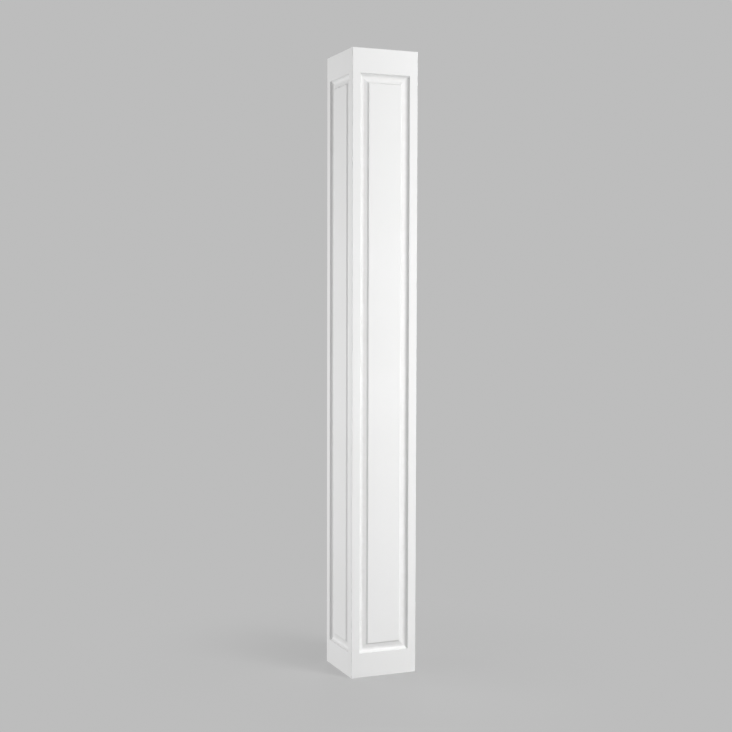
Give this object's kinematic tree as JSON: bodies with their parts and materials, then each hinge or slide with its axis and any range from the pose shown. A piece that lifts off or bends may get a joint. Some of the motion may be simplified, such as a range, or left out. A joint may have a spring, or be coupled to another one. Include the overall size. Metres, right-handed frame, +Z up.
{
  "type": "square column",
  "caption": "Straight square column shaft, hollow and open at both ends, with a raised panel set in a coved and bevelled recess in every face; white satin finish.",
  "frame": {"origin": "centre of the underside, on the floor that the shaft stands on", "axes": "+Z up along the shaft; X and Y square to the faces, the pictured front face looking along -Y"},
  "size_m": [0.308, 0.308, 2.743],
  "materials": {
    "white_satin": "smooth moulded skin under white satin paint"
  },
  "bodies": {
    "root": {"column_shaft": "white_satin"}
  },
  "joints": []
}
